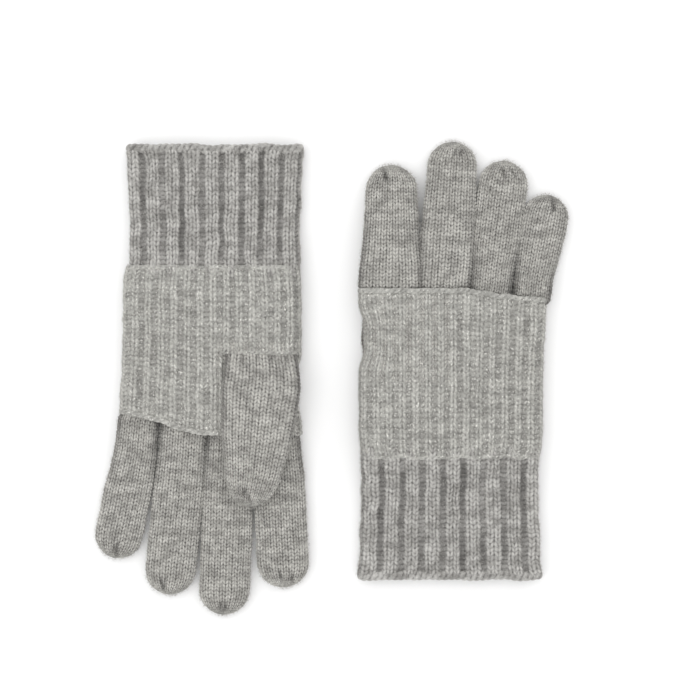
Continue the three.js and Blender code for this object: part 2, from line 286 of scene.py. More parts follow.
class Skin:
    """A smooth surface that stitches lie on, as a fine lattice of distance along and share round."""

    def __init__(self, lattice, shade, spacing, length):
        self.lattice = lattice
        self.shade = shade
        self.spacing = spacing
        self.length = length
        along = np.gradient(lattice, axis=0)
        wrapped = np.concatenate([lattice[:, -2:-1], lattice, lattice[:, 1:2]], axis=1)
        around = wrapped[:, 2:] - wrapped[:, :-2]
        normal = np.cross(around, along)
        self.normals = normal / np.maximum(np.linalg.norm(normal, axis=-1, keepdims=True), TINY)
        middle = lattice.mean(axis=1, keepdims=True)
        if ((lattice - middle) * self.normals)[2:-4].sum() < 0:
            self.normals = -self.normals
        self.normals[-1] = self.normals[-2].mean(axis=0)

    def sample(self, along):
        """Points, normals and shades at a distance along for each column."""
        x = np.clip(along / self.spacing, 0, len(self.lattice) - 1.001)
        row = x.astype(int)
        part = (x - row)[..., None]
        column = np.broadcast_to(np.arange(along.shape[1]), along.shape)
        points = self.lattice[row, column] * (1 - part) + self.lattice[row + 1, column] * part
        normals = self.normals[row, column] * (1 - part) + self.normals[row + 1, column] * part
        part = part[..., 0]
        shade = self.shade[row, column] * (1 - part) + self.shade[row + 1, column] * part
        return points, normals / np.maximum(np.linalg.norm(normals, axis=-1, keepdims=True), TINY), shade


def tube(
    line,
    shares,
    softness,
    domed=False,
    grow=0.0,
    swell=None,
    rise=None,
    thin=None,
    widen=None,
    slanted=None,
    gather_fold_and_shade=0.0,
    crotch_shade_length=0.0,
    sway=0.25,
    seed=0,
):
    """A flat tube along a line. A domed one closes in a rounded tip.

    grow is added all round. These are functions of the distance along: swell is also added all round, widen
    is added to each half of the width, thin is a share of the thickness, and rise is the height of the
    tube's middle above its bed. slanted moves a point, from its p and its distance along to a new p and q.
    gather_fold_and_shade is the depth of the small folds at its start and how dark their painted shade is,
    crotch_shade_length is how long its sides lie against its neighbours and are darkened with painted shade,
    and sway is how far its columns wander sideways.
    """
    glove = line.glove
    tip = (line.sides[-TIP_START, 1] - line.sides[-TIP_START, 0]) / 2 if domed else 0
    straight = line.end - line.start - tip
    length = straight + tip * math.pi / 2
    distances = np.linspace(0, length, int(length) + 1)
    random = np.random.default_rng(seed)
    puckers = [
        (random.uniform(3.5, 7), random.uniform(-0.45, 0.45), random.uniform(-0.5, 0.5))
        for _ in range(PUCKERS)
    ]
    rows, shades = [], []
    for distance in distances:
        angle = max(0.0, distance - straight) / tip if tip else 0.0
        along = line.start + min(distance, straight) + tip * math.sin(angle)
        left, right = [np.interp(min(along, line.end - tip), line.alongs, line.sides[:, k]) for k in (0, 1)]
        shrink = max(math.cos(angle), POINTED)
        more = grow + (swell(along) if swell else 0)
        half_width = ((right - left) / 2 + more + (widen(along) if widen else 0)) * shrink
        half_thick = (line.thick / 2 + more) * (thin(along) if thin else 1) * shrink**0.62
        across, up = flat_oval(half_width, half_thick, softness, shares)
        folds = np.sin(across * 0.4 + 0.6 + 0.07 * along) ** 8
        crease = math.exp(-((along - line.start) / GATHER_LENGTH)) * folds
        up = up - gather_fold_and_shade * crease * np.sign(up)
        # Painted shade darkens the small folds at the start.
        shade = 1 - np.clip(gather_fold_and_shade * crease, 0, 0.9)
        # Painted shade darkens its sides near its start, where they lie against its neighbours.
        if crotch_shade_length:
            side = np.exp(-(((half_width - np.abs(across)) / SIDE_SHADE) ** 2))
            shade = shade * (1 - 0.85 * side * (1 - smooth(line.start, line.start + crotch_shade_length, along)))
        if domed:
            for from_tip, place, tilt in puckers:
                aside = across - place * half_width - tilt * (line.end - along - from_tip)
                near = np.exp(-(((line.end - along - from_tip) / 3.0) ** 2) - (aside / 1.3) ** 2)
                up = up - PUCKER_DEPTH * near * np.sign(up)
                # Painted shade darkens each pucker.
                shade = shade * (1 - 0.8 * near)
        shades.append(shade)
        offset = (left + right) / 2 + across
        p = line.root[0] + line.ahead[0] * along + line.side[0] * offset
        q = line.root[1] + line.ahead[1] * along + line.side[1] * offset
        if slanted:
            p, q = slanted(p, along)
        bed = line.level if line.level is not None else glove.bed(p, q)
        rows.append(np.array([p, q, bed + (rise(along) if rise else line.thick / 2) + up]).T)

    # The cloth lies a little uneven, and its columns wander.
    lattice = np.array(rows)
    p, q, z = np.moveaxis(lattice, -1, 0)
    lattice[..., 2] += 0.4 * wander(p, q, z, 14, seed) * np.abs(np.sin(2 * math.pi * shares))
    lattice[..., 0] += sway * wander(p, q, z * 0, 9, seed + 3)
    lattice[..., 2] = np.maximum(lattice[..., 2], LOWEST)
    lattice[:, -1] = lattice[:, 0]
    return Skin(lattice, np.array(shades), length / (len(distances) - 1), length)


# ---------------------------------------------------------------- stitches
class Columns:
    """Columns of a grid round a tube: each one's share of the way round, wale, and crown or groove."""

    def __init__(self, perimeter, kind, seed=0):
        self.kind = kind
        if "wale" in kind:
            repeats, runs = round(perimeter / kind["wale"]), [("knit", 1, 1.0)]
        else:
            repeats = round(perimeter / kind["repeat"])
            knit_share = kind["knit_share"]
            runs = [("knit", kind["knit_wales"], knit_share), ("purl", 0.5, 1 - knit_share)]
        random = np.random.default_rng(seed)
        widths = random.uniform(0.94, 1.06, repeats * len(runs))
        widths *= np.tile([run[2] for run in runs], repeats)
        widths /= widths.sum()
        share, wale, knit, crown, deep = [], [], [], [], []
        start, first_wale = 0.0, 0.0
        for i, width in enumerate(widths):
            form, wales, _ = runs[i % len(runs)]
            count = int(wales * LEG_COLUMNS) if form == "knit" else PURL_COLUMNS
            strength = random.uniform(0.75, 1.2)
            for j in range(count):
                run = math.sin(math.pi * j / count)
                share.append(start + width * j / count)
                wale.append(first_wale + wales * j / count)
                knit.append(form == "knit")
                crown.append(kind["crown"] * run**0.6 if form == "knit" and len(runs) > 1 else 0.0)
                deep.append(kind["groove"] * strength * run**0.5 if form == "purl" else 0.0)
            start += width
            first_wale += wales
        share.append(1.0)
        wale.append(first_wale)
        for values in (knit, crown, deep):
            values.append(values[0])
        self.share, self.wale, self.knit = np.array(share), np.array(wale), np.array(knit)
        self.crown, self.deep = np.array(crown), np.array(deep)


def stitch(skin, columns, tip=False, seed=0):
    """Raises stitches on a skin. Returns points, their places in the cloth and their levels.

    A place counts wales round the cloth and courses along it, so that a material's patterns follow the
    stitches. A level is 1 on open cloth and less in a groove or where shade gathers; a material paints shade
    where it is low.
    """
    kind = columns.kind
    courses = int(skin.length / kind["course"])
    course = skin.length / courses
    row = np.arange(courses * COURSE_ROWS + 1)[:, None] / COURSE_ROWS
    turn = 2 * math.pi * columns.wale

    # Rows zigzag, because each leg of a knit stitch slants from its foot to its side.
    knit_foot = SLANT * np.abs(2 * (columns.wale % 1) - 1)
    purl_foot = SLANT * (1 - 0.5 * np.abs(np.sin(turn)))
    foot = np.where(columns.knit, knit_foot, purl_foot)[None, :]
    along = np.broadcast_to((row + foot - SLANT / 2) * course, (len(row), len(columns.share)))
    points = skin.sample(np.clip(along, 0, skin.length))[0]
    along = along + 0.3 * course * wander(*np.moveaxis(points, -1, 0), 3.1, seed + 19)
    along[:, -1] = along[:, 0]
    along = np.clip(along, 0, skin.length)
    points, normals, shade = skin.sample(along)

    # Strands are round, with gaps between the wales, and no two stitches are quite as high.
    strand = np.sqrt(np.clip(1 - (2 * (row % 1) - 1) ** 2, 0, 1))
    gap = np.cos(turn) ** 6 * (0.85 + 0.15 * np.cos(turn))
    relief = np.where(columns.knit, (1 - gap) * (0.3 + 0.7 * strand), 0.2 + 0.6 * strand)
    relief = relief * (1 + 0.45 * wander(*np.moveaxis(points, -1, 0), 2.2, seed + 11))

    # The grooves of a rib come and go, and are shallow where the band covers them.
    fade = 0.85 + 0.35 * wander(*np.moveaxis(points, -1, 0), 17, seed + 15)
    shallow = 1 - 0.5 * smooth(skin.length - 16, skin.length - 5, along)
    grooves = columns.deep * np.clip(fade, 0.3, 1.1) * shallow

    # Stitches get smaller as a tip closes.
    squeeze = np.ones_like(along)
    if tip:
        around = np.linalg.norm(np.diff(points, axis=1), axis=-1).sum(axis=1)
        squeeze *= np.clip(around / around[len(around) // 2], 0.05, 1)[:, None]
    height = (kind["height"] * relief + columns.crown - grooves) * squeeze
    place = np.stack(np.broadcast_arrays(columns.wale[None, :], row), axis=-1)
    # The level tells a material where to paint shade: in grooves, and where the skin's painted shade lies.
    level = 1 - grooves / max(kind.get("groove", 1), 0.1)
    return points + normals * height[..., None], place, np.clip(level * shade, 0, 1)


# ---------------------------------------------------------------- meshes
def pressed(z):
    """Height of cloth above the floor: what would go through the floor is pressed flat on it."""
    flattened = FLOOR_GAP + (PRESS - FLOOR_GAP) * np.exp(np.minimum(z - PRESS, 0) / PRESS)
    return np.where(z < PRESS, flattened, z)


def cloth(glove, name, points, place_in_cloth, level, material, keep=None, rows_per_strip=None):
    """A grid of cloth as a mesh. Points that meet are joined, and faces with no kept point are left out.
    rows_per_strip cuts the grid into strips of that many rows."""
    rows, columns = points.shape[:2]
    points = np.concatenate([points[..., :2], pressed(points[..., 2:])], axis=-1)
    bm = bmesh.new()
    bmesh.ops.create_grid(bm, x_segments=columns - 1, y_segments=rows - 1, size=1)
    mesh = bpy.data.meshes.new(name)
    bm.to_mesh(mesh)
    bm.free()
    mesh.vertices.foreach_set("co", glove.world(points).astype(np.float32).ravel())
    # The level attribute tells the material how much painted shade to lay on each point.
    levels = mesh.attributes.new("level", "FLOAT", "POINT")
    levels.data.foreach_set("value", level.astype(np.float32).ravel())
    corner = np.zeros(len(mesh.loops), int)
    mesh.loops.foreach_get("vertex_index", corner)
    layer = mesh.uv_layers.new(name="cloth")
    layer.data.foreach_set("uv", place_in_cloth.reshape(-1, 2)[corner].astype(np.float32).ravel())
    bm = bmesh.new()
    bm.from_mesh(mesh)
    if keep is not None:
        kept = keep.ravel()
        gone = [f for f in bm.faces if not any(kept[v.index] for v in f.verts)]
        bmesh.ops.delete(bm, geom=gone, context="FACES")
    if rows_per_strip:
        strip = columns * rows_per_strip
        gone = [f for f in bm.faces if len({v.index // strip for v in f.verts}) > 1]
        bmesh.ops.delete(bm, geom=gone, context="FACES")
    bmesh.ops.remove_doubles(bm, verts=bm.verts[:], dist=JOIN_METRES)
    bmesh.ops.recalc_face_normals(bm, faces=bm.faces[:])
    bm.to_mesh(mesh)
    bm.free()
    mesh.polygons.foreach_set("use_smooth", [True] * len(mesh.polygons))
    mesh.materials.append(material)
    piece = bpy.data.objects.new(name, mesh)
    bpy.context.scene.collection.objects.link(piece)
    return piece


def rolled_edge(glove, name, path, outward, size, stitch_length, material, closed=True):
    """A rolled edge along a path. size is half its width along the cloth and half its thickness."""
    path, outward = np.array(path, float), np.array(outward, float)
    step = np.linalg.norm(np.diff(path, axis=0), axis=1)
    distance = np.concatenate([[0], np.cumsum(step)])
    stitches = max(4, round(distance[-1] / stitch_length))
    at = np.linspace(0, distance[-1], stitches * 6 + 1)
    path = np.array([np.interp(at, distance, path[:, k]) for k in range(3)]).T
    outward = np.array([np.interp(at, distance, outward[:, k]) for k in range(3)]).T
    outward /= np.linalg.norm(outward, axis=1, keepdims=True)
    forward = np.gradient(path, axis=0)
    if closed:
        forward[0] = forward[-1] = path[1] - path[-2]
    forward /= np.linalg.norm(forward, axis=1, keepdims=True)
    sideways = np.cross(forward, outward)
    around = np.linspace(0, 2 * math.pi, 13)
    phase = at[:, None] / distance[-1] * stitches + 0.9 * np.abs(np.sin(around / 2))[None, :]
    bump = np.abs(np.sin(math.pi * phase)) ** 0.6
    swell = 0.78 + 0.32 * bump
    if not closed:
        ends = np.minimum(at, distance[-1] - at)
        swell = swell * np.sqrt(np.clip(ends / 1.2, 0.02, 1))[:, None]
    wobble = 0.6 * wander(path[:, 0], path[:, 1], path[:, 2], 7, 5)
    points = (
        (path + sideways * wobble[:, None])[:, None]
        + sideways[:, None] * (np.cos(around)[None, :] * size[0] * swell)[..., None]
        + outward[:, None] * (np.sin(around)[None, :] * size[1] * swell)[..., None]
    )
    place = np.stack([np.broadcast_to(0.25 + 0.2 * np.sin(around), bump.shape), phase], axis=-1)
    return cloth(glove, name, points, place, np.ones(bump.shape), material)


def scattered(
    glove, name, skin, count, length, radius, lean, bend, material, seed, outline=6.0, lift=0.3, keep=None
):
    """Many fine closed spindles on a skin, such as the loose fibres of wool. length is a least and a most.

    lean is how far they lie down, from 0 to 1, bend is how much they curl, lift is how far out of the skin
    they start, and outline is how much denser they are on the sides.
    """
    random = np.random.default_rng(seed)
    rows, columns = skin.lattice.shape[:2]
    weight = np.linalg.norm(np.diff(skin.lattice[:-1], axis=1), axis=-1)
    weight = weight * (1 + outline * (1 - np.abs(skin.normals[:-1, :-1, 2])))
    cell = random.choice(weight.size, count, p=(weight / weight.sum()).ravel())
    row, column = np.unravel_index(cell, weight.shape)
    root, normal = skin.lattice[row, column], skin.normals[row, column]
    root = root + (skin.lattice[row, column + 1] - root) * random.random((count, 1))
    root = root + (0, 1, 0) * random.uniform(-0.5, 0.5, (count, 1))
    if keep is not None:
        chosen = keep(root)
        root, normal = root[chosen], normal[chosen]
        count = len(root)
    sideways = np.cross(normal, random.normal(size=(count, 3)))
    sideways /= np.linalg.norm(sideways, axis=1, keepdims=True)
    curl = np.cross(normal, sideways) * random.uniform(-bend, bend, (count, 1))
    size = random.uniform(*length, (count, 1))
    heading = normal * (1 - lean) + sideways * lean
    root = root + normal * lift
    steps = np.linspace(0, 1, 4)[:, None, None]
    path = root + heading * size * steps + (curl - normal * (1 - lean) * 0.5) * size * steps**2
    thick = radius * np.array([0, 1, 0.8, 0])[:, None, None]
    a = np.cross(heading, normal + 0.3 * sideways)
    a /= np.maximum(np.linalg.norm(a, axis=1, keepdims=True), TINY)
    b = np.cross(heading, a)
    turn = np.linspace(0, 2 * math.pi, 4)
    rings = [path + thick * (a * math.cos(t) + b * math.sin(t)) for t in turn]
    points = np.stack(rings, axis=-2).transpose(1, 0, 2, 3).reshape(count * 4, 4, 3)
    place, level = np.zeros(points.shape[:2] + (2,)), np.ones(points.shape[:2])
    return cloth(glove, f"{glove.name}_{name}", points, place, level, material, rows_per_strip=4)


# ---------------------------------------------------------------- materials
def colour(code):
    """A screen colour such as 9a9792 as linear light."""
    parts = [int(code[i : i + 2], 16) / 255 for i in (0, 2, 4)]
    return (*[c / 12.92 if c <= 0.04045 else ((c + 0.055) / 1.055) ** 2.4 for c in parts], 1)


def add(tree, kind, *values, out=None, **settings):
    """Adds a node and returns one of its outputs, the first unless out names another.

    The values go into its sockets in their order. Each setting is the node's own, or goes into a socket whose
    name has _ for a space. What goes into a socket is a constant or another node's output.
    """
    node = tree.nodes.new("ShaderNode" + kind)
    own = [key for key in settings if hasattr(node, key)]
    for key in own:
        setattr(node, key, settings.pop(key))
    named = [(node.inputs[key.replace("_", " ")], value) for key, value in settings.items()]
    for socket, value in [*zip([s for s in node.inputs if s.enabled], values), *named]:
        if isinstance(value, bpy.types.NodeSocket):
            tree.links.new(value, socket)
        else:
            socket.default_value = value
    return node.outputs[out] if out else next((s for s in node.outputs if s.enabled), None)


def new_material(name):
    material = bpy.data.materials.new(name)
    material.use_nodes = True
    tree = material.node_tree
    tree.nodes.clear()
    return material, tree


def wool(name, dark, pale, shade_and_dark_fibre, groove, gap_shade, lots=0.3, glints=0.0):
    """Heathered wool: pale and dark fibres spun together, matt, with a soft pale bloom at grazing angles.

    Each leg of a stitch is a plied strand about 1.7 mm wide, with painted shade in the gap beside it. Fibres
    are drawn about
    0.15 mm wide, several times a real one, so that they show. The dark and pale lengths of yarn that give the
    heather are 4 to 8 mm long, along the courses. shade_and_dark_fibre is the colour of the dark fibres and
    of all painted shade. groove is how dark the painted shade is where the level falls, in the purl grooves
    and in crotches, folds and puckers; gap_shade is how dark the painted shade in the gaps between legs is,
    and lots is how much legs differ in tone.
    """
    material, tree = new_material(name)
    dark, pale, shade_and_dark_fibre = colour(dark), colour(pale), colour(shade_and_dark_fibre)
    millimetres = add(tree, "Mapping", add(tree, "TexCoord", out="Object"), Scale=(1000, 1000, 1000))
    # The level attribute carries where painted shade falls: purl grooves, crotches, folds and puckers.
    level = add(tree, "Attribute", attribute_name="level", out="Fac")
    wale = add(tree, "SeparateXYZ", add(tree, "UVMap", uv_map="cloth"))
    course = wale.node.outputs["Y"]

    # One leg of a stitch: round across, with the gap beside it deepest between two wales.
    side = add(tree, "Math", add(tree, "Math", wale, 2 * math.pi, operation="MULTIPLY"), operation="COSINE")
    narrow = add(tree, "Math", add(tree, "Math", side, operation="ABSOLUTE"), 3.0, operation="POWER")
    uneven = add(tree, "Math", side, 0.08, 0.92, operation="MULTIPLY_ADD")
    gap = add(tree, "Math", narrow, uneven, operation="MULTIPLY")
    part = add(tree, "Math", course, operation="FRACT")
    across = add(tree, "Math", part, 2.0, -1.0, operation="MULTIPLY_ADD")
    square = add(tree, "Math", across, across, operation="MULTIPLY")
    depth = add(tree, "Math", square, -0.18, -0.54, operation="MULTIPLY_ADD")
    beside = add(tree, "Math", gap, depth, 1.0, operation="MULTIPLY_ADD")
    strand = add(tree, "Math", square, -0.5, 1.0, operation="MULTIPLY_ADD")
    leg = add(tree, "Math", beside, strand, operation="MULTIPLY")

    # Legs differ a little in tone, and the plies of the yarn wind round each of them, with painted shade
    # between the plies.
    half_wale = add(tree, "Math", add(tree, "Math", wale, 2.0, operation="MULTIPLY"), operation="FLOOR")
    leg_number = add(tree, "CombineXYZ", half_wale, add(tree, "Math", course, operation="FLOOR"))
    lot = add(tree, "TexWhiteNoise", leg_number)
    rise = add(tree, "Math", course, 1.4, operation="MULTIPLY")
    twist = add(tree, "Math", wale, 6.0, rise, operation="MULTIPLY_ADD")
    wave = add(tree, "Math", add(tree, "Math", twist, math.pi, operation="MULTIPLY"), operation="SINE")
    plies = add(tree, "Math", wave, operation="ABSOLUTE")

    heather, strands, fibres = [
        add(
            tree,
            "TexNoise",
            add(tree, "Mapping", millimetres, Scale=per_mm),
            Scale=1.0,
            Detail=3.0,
            Roughness=roughness,
            Distortion=distortion,
        )
        for per_mm, roughness, distortion in (
            ((0.13, 0.21, 0.21), 0.6, 0.0),
            ((0.8, 0.6, 0.8), 0.65, 0.0),
            ((6.5, 3.2, 6.5), 0.7, 0.6),
        )
    ]

    # Each line lays a colour over the tone, from least to most where what it reads goes from low to high.
    tone = dark
    for reads, low, high, least, most, laid in (
        (heather, 0.39, 0.61, 0.0, 1.0, pale),
        (strands, 0.62, 0.36, 0.0, 0.4, dark),
        (fibres, 0.56, 0.3, 0.0, 0.4, shade_and_dark_fibre),
        (fibres, 0.55, 0.75, 0.0, 0.5, pale),
        (lot, 0.5, 1.0, 0.0, lots, pale),
        (lot, 0.4, 0.0, 0.0, 0.4 * lots, shade_and_dark_fibre),
        # painted shade in the lines between the plies
        (plies, 0.35, 0.0, 0.0, 0.25, shade_and_dark_fibre),
    ):
        share = add(tree, "MapRange", reads, low, high, least, most)
        tone = add(tree, "Mix", share, tone, laid, data_type="RGBA")

    # Painted shade: the gaps between legs and the purl grooves are darkened, and so are crotches, folds and
    # puckers, where the level falls.
    # painted shade in the gaps between legs, deepest where three stitches meet
    painted_gap_shade = add(tree, "MapRange", leg, 0.86, 0.2, 0.0, gap_shade)
    patchy = add(tree, "MapRange", strands, 0.36, 0.6, 1.4, 0.5)
    shadow = add(tree, "Math", painted_gap_shade, patchy, operation="MULTIPLY")
    tone = add(tree, "Mix", shadow, tone, shade_and_dark_fibre, data_type="RGBA")
    # painted shade where the level falls
    painted_groove_shade = add(tree, "MapRange", level, 0.95, 0.1, 0.0, groove)
    tone = add(tree, "Mix", painted_groove_shade, tone, shade_and_dark_fibre, data_type="RGBA")

    fuzz = add(tree, "Math", fibres, 0.3, leg, operation="MULTIPLY_ADD")
    relief = add(tree, "Math", plies, 0.16, fuzz, operation="MULTIPLY_ADD")
    shader = add(
        tree,
        "BsdfPrincipled",
        tone,
        Roughness=0.92,
        Specular_IOR_Level=0.16,
        Sheen_Weight=0.3,
        Sheen_Roughness=0.45,
        Sheen_Tint=(0.9, 0.9, 0.88, 1),
        Normal=add(tree, "Bump", Strength=0.8, Distance=0.0004, Height=relief),
    )
    if glints:
        shader = add_glints(tree, shader, millimetres, leg, glints)
    add(tree, "OutputMaterial", shader)
    return material


def add_glints(tree, shader, millimetres, leg, amount):
    """Short lengths of bright metallic thread, about 0.4 mm long, that surface on raised legs of stitches."""
    cells = add(tree, "TexVoronoi", add(tree, "Mapping", millimetres, Scale=(2.2, 0.8, 1.6)), Scale=1.0)
    draw = add(tree, "SeparateColor", cells.node.outputs["Color"])
    chosen = add(tree, "Math", draw, amount, operation="LESS_THAN")
    dots = add(tree, "Math", add(tree, "MapRange", cells, 0.36, 0.28), chosen, operation="MULTIPLY")
    raised = add(tree, "Math", dots, add(tree, "MapRange", leg, 0.3, 0.6), operation="MULTIPLY")
    metal = add(tree, "BsdfPrincipled", Roughness=0.28, Metallic=1.0, Base_Color=colour("f4f2ec"))
    return add(tree, "MixShader", raised, shader, metal)


def even(name, code, **finish):
    """A finish that is the same all over."""
    material, tree = new_material(name)
    add(tree, "OutputMaterial", add(tree, "BsdfPrincipled", colour(code), **finish))
    return material


# Fine grey yarn in plain jersey: even small stitches, with painted shade in dark dots where three of them
# meet.
JERSEY_WOOL = wool("grey_heathered_wool_jersey", "aaa8a3", "dcdad4", "444240", 0.75, 0.76)
# The same yarn in a wide rib, a little darker, with painted shade in the grooves between the raised wales.
RIB_WOOL = wool("grey_heathered_wool_rib", "a4a29e", "d6d4d0", "444240", 0.62, 0.68)
# A thicker, paler yarn that is spun with a metallic thread: soft low ribs with small sparks of light, and a
# lighter painted shade in its grooves and between its legs.
BAND_WOOL = wool(
    "pale_wool_rib_with_metallic_thread", "acaba6", "d4d3cd", "4c4a47", 0.36, 0.53, lots=0.2, glints=0.28
)
# Loose fibres stand off brushed wool, pale and matt, so that they soften the outline.
WOOL_FLUFF = even(
    "loose_wool_fibres", "c4c1bb", Roughness=0.85, Specular_IOR_Level=0.2, Sheen_Weight=0.4
)
# Metallic yarn is a narrow bright strip of coated film, with a soft silver glint.
METALLIC_THREAD = even("silver_metallic_thread", "f6f5f0", Roughness=0.3, Metallic=1.0)


# ---------------------------------------------------------------- the pieces of a glove
ROUND_SHARE = 0.93  # a finger's perimeter, as a share of the box round it
BEND_REACH = 9  # a length on each side of a finger's hinge, at which two points are found
CUFF_FLARE, CORNER_FLARE, CUFF_WAIST = 0.8, 1.2, 0.6  # added to or taken from each half of the cuff's width
EDGE_WAVE = 1.1  # how far a band's two edges wave
BAND_FLARE = 2.0  # the band widens on its little finger side, towards the fingers
BAND_WAIST, HAND_WAIST = 3.2, 2.6  # the band and the hand in it are narrower beside the thumb
PALM_SIDE = 2.5  # the opening goes down the side to this height above the middle of the cloth


def knit(glove, name, skin, columns, material, slot, replaced, seed, tip=False, keep=None):
    """A stitched piece of cloth and its fluff, in place of solid pieces. keep picks the points that stay."""
    points, place, level = stitch(skin, columns, tip=tip, seed=seed)
    kept = keep(points) if keep else None
    piece = cloth(glove, f"{glove.name}_{name}", points, place, level, material, kept)
    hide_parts(*[f"{glove.name}_{node}" for node in replaced])
    area = np.linalg.norm(np.diff(skin.lattice[::4], axis=1), axis=-1).sum() * 4
    count = int(area * FLUFF_PER_MM2)
    fibres = FLUFF_LENGTH, FLUFF_RADIUS, 0.3, 0.7, WOOL_FLUFF, seed + 70
    hairs = scattered(glove, f"{name}_fluff", skin, count, *fibres, keep=keep)
    return piece, hairs


def finger(glove, name, spread, reach, seed):
    """spread is added to each half of the finger's width at its root. The finger lies against its neighbours
    for the length reach, and its sides are darkened there with painted shade."""
    bend = JOINTS[f"{glove.name}_{name}_bend"]
    axis = np.array(bend["axis"][:2])
    heading = np.array([-axis[1], axis[0]])
    ahead = np.array([heading @ glove.across, heading @ glove.ahead])
    middle = np.array(glove.plan(bend["pos_m"]))[:2]
    tip = ((glove.points(f"{name}_end")[:, :2] - middle) @ ahead).max()
    root = ((glove.points(f"{name}_base")[:, :2] - middle) @ ahead).min()
    line = Line(glove, [f"{name}_base", f"{name}_end"], middle, ahead, root + 1.5, tip)
    line.start = root - 3
    wide = (line.sides[:, 1] - line.sides[:, 0]).max()
    columns = Columns(2 * (wide + line.thick) * ROUND_SHARE, JERSEY, seed)

    def widen(along):
        return spread * (1 - smooth(root, root + reach, along)) - 2.0 * (1 - smooth(root - 3, root, along))

    skin = tube(line, columns.share, 2.3, domed=True, widen=widen, crotch_shade_length=reach, seed=seed)
    nodes = [f"{name}_base", f"{name}_end"]
    level, reaches = bend["pos_m"][2] / MM, (-BEND_REACH, BEND_REACH)
    ends = [glove.world(np.array([*(middle + ahead * way), level])) for way in reaches]
    for piece in knit(glove, name, skin, columns, JERSEY_WOOL, "jersey_knit", nodes, seed, tip=True):
        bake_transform(piece)


def thumb(glove, seed):
    """The thumb grows out of the palm under the edge of its opening, thin at first."""
    swing = np.array(glove.plan(JOINTS[f"{glove.name}_thumb_swing"]["pos_m"]))[:2]
    points = glove.points("thumb")
    far = points[np.argsort(np.hypot(*(points[:, :2] - swing).T))[-8:], :2].mean(axis=0) - swing
    ahead = far / np.hypot(*far)
    tip = ((points[:, :2] - swing) @ ahead).max()
    low, high = points[:, 2].min(), points[:, 2].max()
    line = Line(glove, ["thumb"], swing, ahead, 1.0, tip, level=low)
    line.start = glove.thumb_line - swing[1] - 2.5
    before = np.arange(line.start, 1.0, 1.0)
    palm = np.array([glove.opening_side + 3.8, 44.0])
    at_palm = (palm - swing[0] - ahead[0] * before[:, None]) / line.side[0]
    share = smooth(line.start, 1.0, before)[:, None]
    line.sides = np.concatenate([at_palm * (1 - share) + line.sides[0] * share, line.sides])
    line.alongs = np.concatenate([before, line.alongs])
    half = (high - low) / 2

    def thin(along):
        return 0.12 + 0.88 * smooth(line.start, line.start + 18, along)

    def rise(along):
        return half * thin(along) if glove.palm_up else 2 * half - half * thin(along)

    wide = (line.sides[:, 1] - line.sides[:, 0]).mean()
    columns = Columns(2 * (wide + 2 * half) * ROUND_SHARE, JERSEY, seed)

    def widen(along):
        return 1.7 - 4.1 * smooth(tip - 38, tip - 8, along)

    # The thumb's sides are darkened with painted shade for 90 mm from its start, and so are the small folds
    # at its start.
    looks = {"thin": thin, "rise": rise, "widen": widen, "gather_fold_and_shade": 1.0, "crotch_shade_length": 90}
    skin = tube(line, columns.share, 2.4, domed=True, seed=seed, **looks)
    ends = [glove.world(np.array([*(swing + ahead * way), low])) for way in (line.start + 2, 4)]
    wool_and_slot = JERSEY_WOOL, "jersey_knit"
    for piece in knit(glove, "thumb_knit", skin, columns, *wool_and_slot, ["thumb"], seed, tip=True):
        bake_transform(piece)


def wrist_blend(glove, piece):
    ends = [glove.world(np.array([0.0, q, 10.0])) for q in (1.5, -7.0)]
    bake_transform(piece)


def ribbed_cuff(glove, seed):
    """The cuff, the lining that shows in its mouth, and its rolled hem."""
    mouth = glove.points("cuff_hem")[:, 1].min()
    line = Line(glove, ["cuff"], (0, 0), (0, 1), glove.points("cuff")[:, 1].min() + 0.5, -1)
    line.start, line.end = mouth + 3.0, 6.0
    wide = (line.sides[:, 1] - line.sides[:, 0]).mean()
    columns = Columns(2 * (wide + line.thick * 0.4), RIB, seed)

    def widen(along):
        corner = CORNER_FLARE * (1 - smooth(mouth, mouth + 11, along))
        waist = CUFF_WAIST * math.exp(-(((along + 16) / 14) ** 2))
        return CUFF_FLARE * smooth(-20, mouth, along) + corner - waist

    def waved(p, along):
        near_mouth = 1 - smooth(mouth, mouth + 24, along)
        return p, along + near_mouth * wander(p, 0 * p, 0 * p, 13, seed + 33)

    looks = {"widen": widen, "slanted": waved, "seed": seed}
    skin = tube(line, columns.share, 1.5, grow=-0.3, sway=RIB["sway"], **looks)
    for piece in knit(glove, "cuff_knit", skin, columns, RIB_WOOL, "rib_knit", ["cuff"], seed):
        wrist_blend(glove, piece)
    shares = np.linspace(0, 1, 121)
    inside = tube(line, shares, 1.4, grow=-LINING_GAP, **looks).lattice[::2]
    wales = np.broadcast_to(shares * 50, inside.shape[:2])
    place = np.stack([wales, inside[..., 1] / RIB["course"]], axis=-1)
    lining = cloth(glove, f"{glove.name}_cuff_lining", inside, place, np.ones(wales.shape), RIB_WOOL)
    wrist_blend(glove, lining)
    outer = tube(line, shares, 1.5, grow=-0.9, **looks)
    path, outward = outer.lattice[0] + (0, -0.8, 0), outer.normals[0]
    hem = rolled_edge(glove, f"{glove.name}_hem_roll", path, outward, (2.3, 1.6), 3.4, RIB_WOOL)
    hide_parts(f"{glove.name}_cuff_hem")
    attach(hem, f"{glove.name}_wrist")


